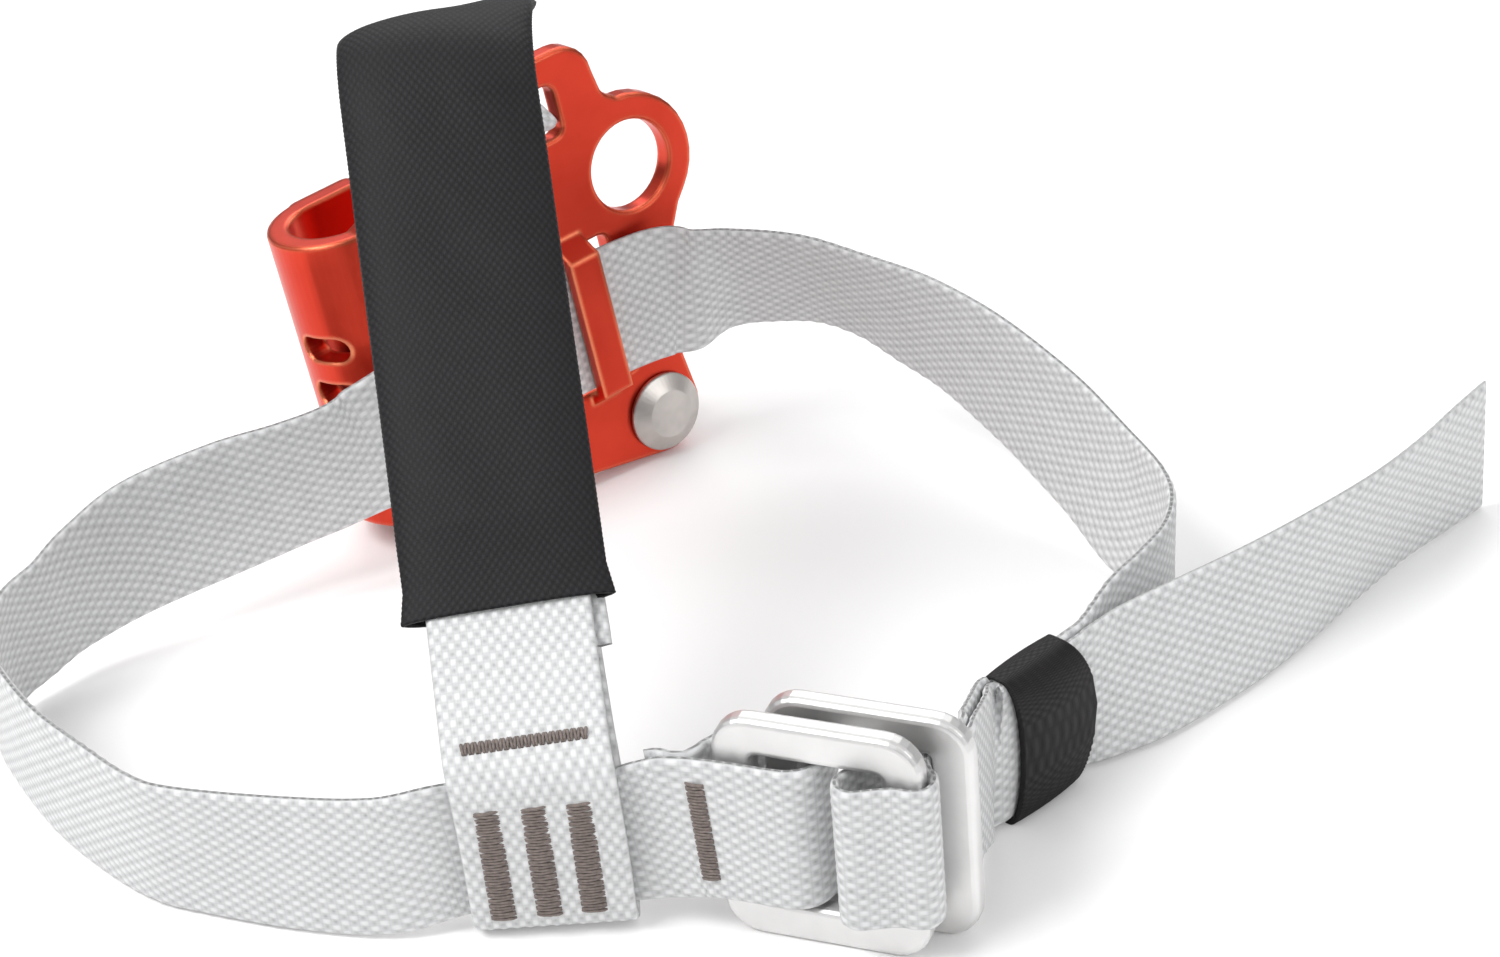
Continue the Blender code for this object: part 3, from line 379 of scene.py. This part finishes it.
def weave_material(name, dark, middle, light, pick, rib, roughness, relief, sheen, specular=0.5):
    """Plain weave in the surface's u and v: crowns brightened by a painted highlight, gaps, grooves and
    furrows darkened by painted shade, and fine fibres along each yarn.
    """
    material, shader, tree = new_material(name, middle, roughness)
    uv = add(tree, "ShaderNodeUVMap", uv_map="weave").outputs[0]
    parts = add(tree, "ShaderNodeSeparateXYZ")
    tree.links.new(uv, parts.inputs[0])
    cos_u = math_node(tree, "COSINE", math_node(tree, "MULTIPLY", parts.outputs[0], math.pi / (pick * MM)))
    cos_v = math_node(tree, "COSINE", math_node(tree, "MULTIPLY", parts.outputs[1], math.pi / (rib * MM)))
    product = math_node(tree, "MULTIPLY", cos_u, cos_v)
    across = math_node(tree, "ABSOLUTE", cos_u)
    length = math_node(tree, "ABSOLUTE", cos_v)
    narrow = math_node(tree, "MULTIPLY", math_node(tree, "POWER", across, 1.8),
                       math_node(tree, "POWER", length, 0.75))
    # Painted shade: the gaps between the yarns are darkened in the colour; the same mask sinks them in the
    # bump.
    gap_shade_and_depth = math_node(tree, "MULTIPLY", narrow, math_node(tree, "LESS_THAN", product, 0.0))
    # Painted highlight: the crowns of the yarns are brightened in the colour; the same mask raises them in the
    # bump.
    crown_highlight_and_height = math_node(tree, "MULTIPLY", math_node(tree, "MULTIPLY", across, length),
                    math_node(tree, "GREATER_THAN", product, 0.0))
    # Painted shade: the grooves between picks and the furrows between ribs are darkened in the colour, and
    # sunk in the bump.
    pick_groove_shade_and_depth = math_node(tree, "POWER", math_node(tree, "SUBTRACT", 1.0, across), 2.0)
    rib_furrow_shade_and_depth = math_node(tree, "POWER", math_node(tree, "SUBTRACT", 1.0, length), 3.0)
    weave_relief_and_painted_light = math_node(tree, "MULTIPLY_ADD", gap_shade_and_depth, -0.42, math_node(tree, "MULTIPLY_ADD", crown_highlight_and_height, 0.36, 0.62))
    weave_relief_and_painted_light = math_node(tree, "MULTIPLY_ADD", pick_groove_shade_and_depth, -0.16, weave_relief_and_painted_light)
    weave_relief_and_painted_light = math_node(tree, "MULTIPLY_ADD", rib_furrow_shade_and_depth, -0.14, weave_relief_and_painted_light)
    mapping = add(tree, "ShaderNodeMapping")
    mapping.inputs["Scale"].default_value = (600, 6000, 1)
    tree.links.new(uv, mapping.inputs[0])
    fibres = noise(tree, mapping.outputs[0], 1.0, 2.0)
    broad = noise(tree, uv, 260.0, 3.0)
    # The colour carries the weave's painted highlight and painted shade, with fibre and broad tone on top.
    shade = math_node(tree, "MULTIPLY_ADD", fibres, 0.22, weave_relief_and_painted_light)
    shade = math_node(tree, "MULTIPLY_ADD", broad, 0.3, math_node(tree, "SUBTRACT", shade, 0.24))
    colour = ramp(tree, shade, [(0.04, dark), (0.3, middle), (0.95, light)])
    tree.links.new(colour, shader.inputs["Base Color"])
    height = math_node(tree, "MULTIPLY_ADD", fibres, 0.25, weave_relief_and_painted_light)
    bump(tree, shader, height, relief * MM)
    shader.inputs["Sheen Weight"].default_value = sheen
    shader.inputs["Sheen Roughness"].default_value = 0.4
    shader.inputs["Specular IOR Level"].default_value = specular
    return material


def bevelled(tree, radius):
    node = add(tree, "ShaderNodeBevel", samples=6)
    node.inputs["Radius"].default_value = radius * MM
    return node.outputs[0]


def anodised():
    """Satin orange-red anodised aluminium: fine blasted grain and edges made paler by a painted highlight."""
    material, shader, tree = new_material("anodised_red", (0.58, 0.045, 0.024), 0.34, 0.95)
    place = add(tree, "ShaderNodeTexCoord").outputs["Object"]
    grain = noise(tree, place, 2600.0, 2.0)
    cloud = noise(tree, place, 60.0, 3.0)
    soft = bevelled(tree, 1.25)
    geometry = add(tree, "ShaderNodeNewGeometry")
    dot = add(tree, "ShaderNodeVectorMath", operation="DOT_PRODUCT")
    tree.links.new(soft, dot.inputs[0])
    tree.links.new(geometry.outputs["Normal"], dot.inputs[1])
    # Painted highlight: at the edges, where the softened bevel normal leaves the face's normal, the colour is
    # mixed towards pale orange.
    painted_edge_highlight = math_node(tree, "SUBTRACT", 1.0, dot.outputs["Value"])
    edge = math_node(tree, "MULTIPLY", painted_edge_highlight, 7.0)
    base = ramp(tree, cloud, [(0.3, (0.58, 0.043, 0.022)), (0.75, (0.70, 0.060, 0.031))])
    mix = add(tree, "ShaderNodeMix", data_type="RGBA")
    tree.links.new(math_node(tree, "MINIMUM", edge, 0.8), mix.inputs[0])
    tree.links.new(base, mix.inputs[6])
    # The pale orange of the painted edge highlight.
    mix.inputs[7].default_value = (0.98, 0.34, 0.17, 1)
    tree.links.new(mix.outputs[2], shader.inputs["Base Color"])
    bump(tree, shader, grain, 0.02 * MM, 0.35, soft)
    rough = math_node(tree, "MULTIPLY_ADD", cloud, 0.1, 0.25)
    tree.links.new(rough, shader.inputs["Roughness"])
    return material


def metal(name, colour, roughness, grain_scale, grain_depth, radius, streak=(1, 1, 1), tone=0.12):
    """Satin or brushed metal with grain stretched along one way and softened edges."""
    material, shader, tree = new_material(name, colour, roughness, 1.0)
    place = add(tree, "ShaderNodeTexCoord").outputs["Object"]
    mapping = add(tree, "ShaderNodeMapping")
    mapping.inputs["Scale"].default_value = streak
    tree.links.new(place, mapping.inputs[0])
    grain = noise(tree, mapping.outputs[0], grain_scale, 3.0)
    cloud = noise(tree, place, 120.0, 3.0)
    low = tuple(c * (1 - tone) for c in colour)
    high = tuple(min(1.0, c * (1 + tone)) for c in colour)
    tree.links.new(ramp(tree, cloud, [(0.3, low), (0.7, high)]), shader.inputs["Base Color"])
    rough = math_node(tree, "MULTIPLY_ADD", cloud, 0.14, roughness - 0.07)
    tree.links.new(rough, shader.inputs["Roughness"])
    bump(tree, shader, grain, grain_depth * MM, 0.5, bevelled(tree, radius) if radius else None)
    return material


def plain(name, colour, roughness, scale=900.0, depth=0.03):
    material, shader, tree = new_material(name, colour, roughness)
    place = add(tree, "ShaderNodeTexCoord").outputs["Object"]
    speck = noise(tree, place, scale, 3.0)
    low = tuple(c * 0.75 for c in colour)
    high = tuple(min(1.0, c * 1.3) for c in colour)
    tree.links.new(ramp(tree, speck, [(0.3, low), (0.7, high)]), shader.inputs["Base Color"])
    bump(tree, shader, speck, depth * MM)
    return material


# The three weaves below paint a highlight on the yarns' crowns and paint shade into the gaps between them.
GREY = weave_material("webbing_weave", (0.28, 0.285, 0.29), (0.51, 0.515, 0.52), (0.78, 0.785, 0.79),
                      pick=PICK, rib=RIB, roughness=0.5, relief=0.14, sheen=0.15)
BLACK = weave_material("sleeve_weave", (0.002, 0.002, 0.003), (0.0045, 0.0042, 0.005), (0.015, 0.0145, 0.017),
                       pick=SLEEVE_ROWS, rib=SLEEVE_RIB, roughness=0.62, relief=0.10, sheen=0.0, specular=0.3)
ELASTIC = weave_material("elastic_weave", (0.003, 0.003, 0.003), (0.011, 0.0105, 0.011), (0.03, 0.028, 0.029),
                         pick=0.9, rib=0.45, roughness=0.75, relief=0.08, sheen=0.01, specular=0.3)
TACK = plain("bonded_thread", (0.19, 0.155, 0.14), 0.7, 1500.0, 0.05)
RED = anodised()
STEEL = metal("stainless_brushed", (0.60, 0.575, 0.54), 0.34, 900.0, 0.02, 0.35, (1, 6, 1))
RIVET = metal("rivet_brushed", (0.52, 0.49, 0.465), 0.38, 500.0, 0.05, 0.3, (1, 1, 1), 0.2)
RING = metal("ring_satin", (0.76, 0.755, 0.75), 0.44, 1400.0, 0.012, 0.3, (3, 3, 1), 0.05)
SPRING = metal("spring_wire", (0.33, 0.33, 0.34), 0.4, 900.0, 0.01, 0)
BUSH = plain("bush_polymer", (0.06, 0.06, 0.065), 0.5)

FINISHES = {"frame": RED, "cam": STEEL, "plate_washer": STEEL, "tail_washer": STEEL, "stop_pin": RIVET,
            "pivot_rivet": RIVET, "buckle_front_ring": RING, "buckle_rear_ring": RING, "cam_spring": SPRING,
            "pivot_bush": BUSH}


def paint_nodes():
    for name, material in FINISHES.items():
        node = NODES[name]
        node.data.materials.clear()
        node.data.materials.append(material)


# ---- webbing pieces ----

def make_webbing():
    ankle, route, reach = webbing("ankle_webbing", ankle_stations(), standing, GREY)
    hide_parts("strap_ring_loop", "strap_ankle_front", "strap_ankle_left", "strap_over_plate",
                "strap_ankle_right", "strap_return")
    buckle, _, reach = webbing("buckle_webbing", buckle_stations(), standing, GREY, reach, THIN_WEB_T,
                               ride=False)
    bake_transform(buckle)
    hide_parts("strap_in_buckle")
    tail, _, _ = webbing("tail_webbing", tail_stations(), standing, GREY, reach, THIN_WEB_T)
    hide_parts("strap_tail")
    sole, sole_route, _ = webbing("sole_webbing", sole_stations(), lying, GREY)
    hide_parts("sole_strap_joint", "sole_strap")
    lower_layer = ((0.6, -53.6, 41.5), (0.3, -50.0, 43.3), (0.0, -47.0, 45.0), (-0.6, -40.0, 50.6),
                   (-1.3, -30.0, 59.2))
    under = [(-36.7 + x, y, z - 2.5, -4, 0) for x, y, z in lower_layer]
    end, _, _ = webbing("sole_webbing_end", under, lying, GREY)
    return route, sole_route


# ---- sleeve ----

def sleeve_outline(out_bulge, upper, count):
    """Flat oval round the webbing, evenly spaced, as (u, v) offsets."""
    dense = []
    for k in range(OUTLINE_POINTS):
        a = TAU * k / OUTLINE_POINTS
        c, s = math.cos(a), math.sin(a)
        u = math.copysign(abs(c) ** 0.62, c)
        v = math.copysign(abs(s) ** 1.2, s)
        rise = upper * (1 + out_bulge * (1 - u * u)) if v > 0 else 0.95
        dense.append((u * SLEEVE_HALF_W, v * SLEEVE_HALF_T * rise))
    reach = [0.0]
    for a, b in zip(dense, dense[1:] + dense[:1]):
        reach.append(reach[-1] + math.dist(a, b))
    points, j = [], 0
    for k in range(count):
        wanted = reach[-1] * k / count
        while reach[j + 1] < wanted:
            j += 1
        t = (wanted - reach[j]) / (reach[j + 1] - reach[j])
        a, b = dense[j], dense[(j + 1) % OUTLINE_POINTS]
        points.append((a[0] + (b[0] - a[0]) * t, a[1] + (b[1] - a[1]) * t))
    return points, reach[-1]


def make_sleeve(sole_route):
    """The woven tube: rows of fine ribs, a soft crown, small creases and two flared open ends."""
    picked = [i for i, s in enumerate(sole_route) if s[2] > SLEEVE_HEM_Z]
    first, last = picked[0], [i for i in picked if sole_route[i][1] < SLEEVE_END_Y][-1]
    stations = [tuple(s) for s in sole_route[first:last + 1:8]]
    route, step = smooth_route(stations, SLEEVE_ROWS / 2)
    count = 2 * round(SLEEVE_GIRTH / SLEEVE_RIB / 2)
    count -= count % 4
    rng = random.Random(5)
    waves = [(rng.uniform(0, TAU), rng.uniform(18, 46), rng.uniform(0.05, 0.14)) for _ in range(7)]
    verts, faces, uvs = [], [], []
    total = len(route) - 1
    for i in range(total + 1):
        t = i / total
        across = lying(route, i)
        along = tangent(route, i)
        out = across.cross(along)
        if out.z < 0 and along.z > 0 or (out.y < 0 and along.z <= 0):
            out = -out
        bulge = 0.30 * max(0.0, 1 - abs(t - 0.72) / 0.2)
        from_hem = t * total * step
        points, girth = sleeve_outline(bulge, 0.55 + 0.45 * min(1.0, from_hem / 14.0), count)
        flare = 1 + 0.05 * max(0.0, 1 - from_hem / 5.0) + 0.03 * max(0.0, 1 - (1 - t) * total * step / 6.0)
        centre = Vector(route[i][:3])
        for k, (u, v) in enumerate(points):
            rib = math.cos(math.pi * i) * math.cos(math.pi * k)
            ripple = sum(a * math.sin(p + t * total * step / w * TAU + u * 0.09 * (1 + n % 3))
                         for n, (p, w, a) in enumerate(waves))
            normal = Vector((u / SLEEVE_HALF_W ** 2 * 9, v / SLEEVE_HALF_T ** 2)).normalized()
            lift = 0.035 * rib + ripple * abs(normal.y)
            place = centre + across * (u * flare + normal.x * lift) + out * (v + normal.y * lift)
            verts.append(place)
            uvs.append((i * step * MM, k * girth / count * MM))
    for i in range(total):
        for k in range(count):
            n = (k + 1) % count
            a, b = i * count, (i + 1) * count
            faces.append((a + k, a + n, b + n, b + k))
    sleeve = mesh_object("sole_sleeve_tube", verts, faces, uvs, ride=False)
    fix_normals(sleeve)
    thick = sleeve.modifiers.new("wall", "SOLIDIFY")
    thick.thickness = SLEEVE_WALL * MM
    thick.offset = -1
    sleeve.data.materials.append(BLACK)
    apply_modifiers(sleeve)
    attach(sleeve, "frame")
    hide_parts("sole_sleeve")


def apply_modifiers(obj):
    bpy.context.view_layer.update()
    graph = bpy.context.evaluated_depsgraph_get()
    mesh = bpy.data.meshes.new_from_object(obj.evaluated_get(graph))
    obj.modifiers.clear()
    obj.data = mesh


# ---- keeper ----

def make_keeper():
    """Ribbed elastic band, bulging between its open ends, with the webbing's two layers inside."""
    rows, around = 64, 160
    inner_v, inner_z = 2.35, 12.9
    wall, belly = 1.15, 1.15
    girth = 72.0
    verts, faces, uvs = [], [], []
    profile = []
    for i in range(rows + 1):
        s = 2 * i / rows - 1
        profile.append((s * KEEPER_L / 2, (1 - s * s) * belly))
    for shell in (0, 1):
        for u, bulge in profile:
            for k in range(around):
                a = TAU * k / around
                c, s = math.cos(a), math.sin(a)
                grow = wall + bulge * (0.3 + 0.7 * abs(c)) if shell == 0 else 0.0
                rib = 0.10 * math.cos(k * math.pi) if shell == 0 else 0.0
                v = math.copysign(abs(c) ** 0.55, c) * (inner_v + grow * 0.85 + rib)
                z = math.copysign(abs(s) ** 0.35, s) * (inner_z + (0.5 if shell == 0 else 0) + rib * 0.3)
                bow = (1 - (z / 13.4) ** 2) * (2.2 + 2.6 * (u / KEEPER_L + 0.5)) - 1.6
                x, y, zz, _ = at_keeper(u + bow, v, KEEPER_Z + z)
                verts.append((x, y, max(0.02, zz)))
                uvs.append((u * MM, k * girth / around * MM + shell * 0.1))
    ring = (rows + 1) * around
    for shell in (0, 1):
        for i in range(rows):
            for k in range(around):
                n = (k + 1) % around
                a, b = shell * ring + i * around, shell * ring + (i + 1) * around
                faces.append((a + k, a + n, b + n, b + k))
    for i in (0, rows):
        for k in range(around):
            n = (k + 1) % around
            a, b = i * around, ring + i * around
            faces.append((a + k, a + n, b + n, b + k))
    keeper = mesh_object("elastic_keeper", verts, faces, uvs, ride=False)
    fix_normals(keeper)
    keeper.data.materials.append(ELASTIC)
    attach(keeper, "keeper")
    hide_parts("keeper")


# ---- stitching ----

def thread_tube(verts, faces, points, radius, sides=6):
    """Adds a closed tube of thread along points."""
    base = len(verts)
    for i, p in enumerate(points):
        along = (points[min(i + 1, len(points) - 1)] - points[max(i - 1, 0)]).normalized()
        side = along.cross(Vector((0.3, 0.2, 0.93))).normalized()
        up = side.cross(along)
        for k in range(sides):
            a = TAU * k / sides
            verts.append(p + side * (radius * math.cos(a)) + up * (radius * math.sin(a)))
    for i in range(len(points) - 1):
        for k in range(sides):
            n = (k + 1) % sides
            a, b = base + i * sides, base + (i + 1) * sides
            faces.append((a + k, a + n, b + n, b + k))
    faces.append(tuple(base + k for k in reversed(range(sides))))
    last = base + (len(points) - 1) * sides
    faces.append(tuple(last + k for k in range(sides)))


def tack(name, node, centre, across, along, length, width, passes):
    """A bar tack: a dense zigzag of thread, sunk into the webbing at its ends."""
    across, along = Vector(across).normalized(), Vector(along).normalized()
    out = across.cross(along).normalized()
    if out.y > 0.2 or out.z < -0.5:
        out = -out
    rng = random.Random(len(name) + passes)
    verts, faces = [], []
    for i in range(passes):
        u = -length / 2 + length * (i + 0.5) / passes
        points = []
        for k in range(9):
            t = k / 8
            v = (t - 0.5) * width * (1 + rng.uniform(-0.02, 0.02))
            rise = 0.42 * math.sin(math.pi * t) ** 0.5 - 0.25
            skew = length / passes * 0.35 * (t - 0.5) * (1 if i % 2 else -1)
            points.append(centre + across * (u + skew + rng.uniform(-0.03, 0.03)) + along * v + out * rise)
        thread_tube(verts, faces, points, 0.26)
    obj = mesh_object(name, verts, faces, ride=False)
    fix_normals(obj)
    obj.data.materials.append(TACK)
    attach(obj, "frame")
    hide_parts(node)
    return obj


def face_frame(route, i, across, want_front):
    along = tangent(route, i)
    wide = across(route, i)
    out = wide.cross(along)
    if want_front(out):
        out = -out
    return Vector(route[i][:3]) + out * (WEB_T / 2 + 0.05), wide, along


def nearest_height(route, y, z):
    return min(range(len(route)), key=lambda i: (route[i][1] - y) ** 2 + (route[i][2] - z) ** 2)


def make_stitching(ankle, sole):
    middle = nearest_height(sole, -70.0, 14.0)
    if sole[middle][1] > -69:
        middle = nearest_height(sole, -72.0, 15.0)
    centre, wide, along = face_frame(sole, middle, lying, lambda out: out.y > 0)
    for side, shift in (("left", -7.6), ("middle", -0.6), ("right", 6.2)):
        place = centre + wide * shift + along * 1.6
        tack("bar_tack_" + side, "joint_tack_" + side, place, along, wide, 21.0, 3.7, 38)
    upper = nearest_height(sole, -67.4, 33.3)
    centre, wide, along = face_frame(sole, upper, lying, lambda out: out.z < 0)
    tack("bar_tack_cross", "joint_tack_cross", centre, wide, along, 19.0, 1.7, 36)
    loop = [i for i, s in enumerate(ankle) if abs(s[0] + 11.8) < 0.8 and s[1] < -70.5][-1]
    centre, wide, along = face_frame(ankle, loop, standing, lambda out: out.y > 0)
    tack("bar_tack_loop", "loop_tack", centre, wide, along, 17.5, 2.8, 32)


# ---- set: floor, light, camera ----

def make_floor():
    mesh = bpy.data.meshes.new("studio_floor")
    half = 3.0
    corners = [(-half, -half, 0), (half, -half, 0), (half, half, 0), (-half, half, 0)]
    mesh.from_pydata(corners, [], [(0, 1, 2, 3)])
    floor = bpy.data.objects.new("studio_floor", mesh)
    bpy.context.scene.collection.objects.link(floor)
    material, shader, _ = new_material("studio_white", (0.95, 0.948, 0.948), 0.8)
    shader.inputs["Emission Color"].default_value = (1, 1, 1, 1)
    shader.inputs["Emission Strength"].default_value = 0.06
    shader.inputs["Specular IOR Level"].default_value = 0.1
    mesh.materials.append(material)


def area_light(name, place, target, size, power):
    data = bpy.data.lights.new(name, "AREA")
    data.shape = "RECTANGLE"
    data.size, data.size_y = size
    data.energy = power
    light = bpy.data.objects.new(name, data)
    bpy.context.scene.collection.objects.link(light)
    light.location = place
    direction = Vector(target) - Vector(place)
    light.rotation_euler = direction.to_track_quat("-Z", "Y").to_euler()


def make_set():
    make_floor()
    world = bpy.data.worlds.new("studio")
    bpy.context.scene.world = world
    world.use_nodes = True
    background = world.node_tree.nodes["Background"]
    sky = add(world.node_tree, "ShaderNodeTexCoord").outputs["Generated"]
    parts = add(world.node_tree, "ShaderNodeSeparateXYZ")
    world.node_tree.links.new(sky, parts.inputs[0])
    tent = ramp(world.node_tree, parts.outputs[2], [(0.0, (0.16, 0.16, 0.165)), (0.22, (0.30, 0.30, 0.31)),
                                                    (0.5, (0.85, 0.85, 0.85)), (1.0, (1.0, 1.0, 1.0))])
    world.node_tree.links.new(tent, background.inputs["Color"])
    background.inputs["Strength"].default_value = 0.72
    area_light("key", (-0.55, -0.25, 0.85), (0, 0, 0.03), (0.5, 0.5), 6.8)
    area_light("fill", (0.8, -0.6, 0.6), (0, 0, 0.03), (0.7, 0.5), 3.0)
    area_light("rear", (0.1, 0.9, 0.7), (0, 0.05, 0.05), (1.0, 0.4), 3.8)
    bpy.context.scene.view_settings.view_transform = "Standard"
    data = bpy.data.cameras.new("photo_camera")
    data.lens = 88.8
    data.sensor_width = 36
    data.clip_start = 0.01
    camera = bpy.data.objects.new("photo_camera", data)
    bpy.context.scene.collection.objects.link(camera)
    place = Matrix.Translation((Vector((-1.0, -515.0, 344.0)) + SHIFT) * MM)
    turn = Matrix.Rotation(math.radians(59), 4, "X") @ Matrix.Rotation(math.radians(-5), 4, "Z")
    camera.matrix_world = place @ turn
    bpy.context.scene.camera = camera


def main():
    paint_nodes()
    ankle, sole = make_webbing()
    make_sleeve(sole)
    make_keeper()
    make_stitching(ankle, sole)
    make_set()


main()
